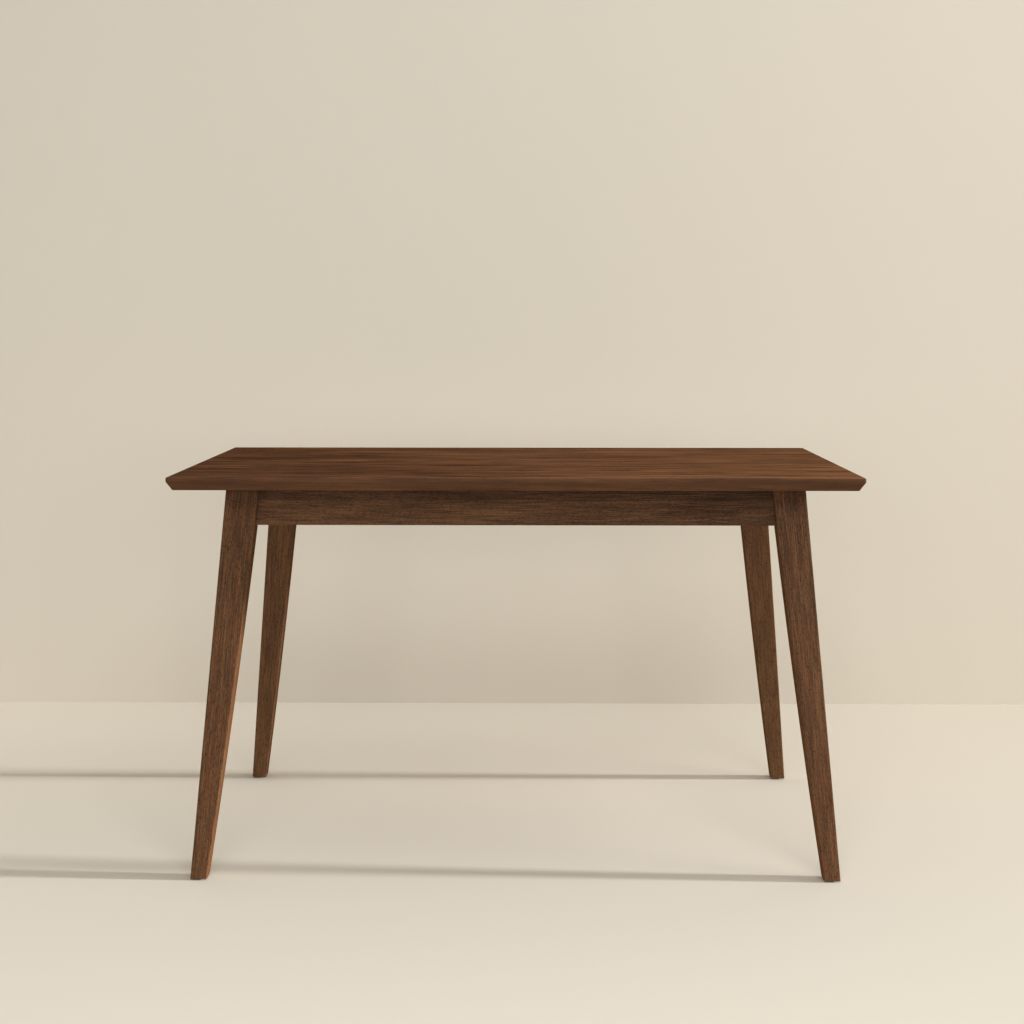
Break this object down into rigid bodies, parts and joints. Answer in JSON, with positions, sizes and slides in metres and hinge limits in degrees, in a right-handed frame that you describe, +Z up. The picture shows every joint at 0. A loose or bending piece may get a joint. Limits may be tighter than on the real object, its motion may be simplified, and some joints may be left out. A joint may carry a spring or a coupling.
{
  "type": "dining table",
  "caption": "Rectangular walnut dining table with an undercut rim, recessed aprons and tapered legs splayed both ways.",
  "frame": {"origin": "middle of the table on the floor", "axes": "+X along the long side to the viewer's right, -Y towards the front, +Z up"},
  "size_m": [1.295, 0.8216, 0.762],
  "materials": {
    "walnut_top": "satin oiled walnut",
    "walnut_frame": "satin oiled walnut",
    "rubberwood_inner": "stained, matt",
    "beech_dowel": "raw",
    "zinc_steel": "bright zinc plated",
    "nylon_glide": "moulded"
  },
  "bodies": {
    "root": {"apron_dowels": "beech_dowel", "block_screws": "zinc_steel", "bolt_nuts": "zinc_steel", "bolt_washers": "zinc_steel", "clip_screws": "zinc_steel", "corner_block_front_left": "rubberwood_inner", "corner_block_front_right": "rubberwood_inner", "corner_block_rear_left": "rubberwood_inner", "corner_block_rear_right": "rubberwood_inner", "cross_rail": "rubberwood_inner", "foot_glide_front_left": "nylon_glide", "foot_glide_front_right": "nylon_glide", "foot_glide_rear_left": "nylon_glide", "foot_glide_rear_right": "nylon_glide", "glide_nails": "zinc_steel", "hanger_bolts": "zinc_steel", "leg_front_left": "walnut_frame", "leg_front_right": "walnut_frame", "leg_rear_left": "walnut_frame", "leg_rear_right": "walnut_frame", "long_apron_front": "walnut_frame", "long_apron_rear": "walnut_frame", "rail_dowels": "beech_dowel", "rail_screws": "zinc_steel", "rail_washers": "zinc_steel", "short_apron_left": "walnut_frame", "short_apron_right": "walnut_frame", "top_board_1": "walnut_top", "top_board_2": "walnut_top", "top_board_3": "walnut_top", "top_board_4": "walnut_top", "top_board_5": "walnut_top", "top_board_6": "walnut_top", "top_board_7": "walnut_top", "top_clips": "zinc_steel"}
  },
  "joints": []
}
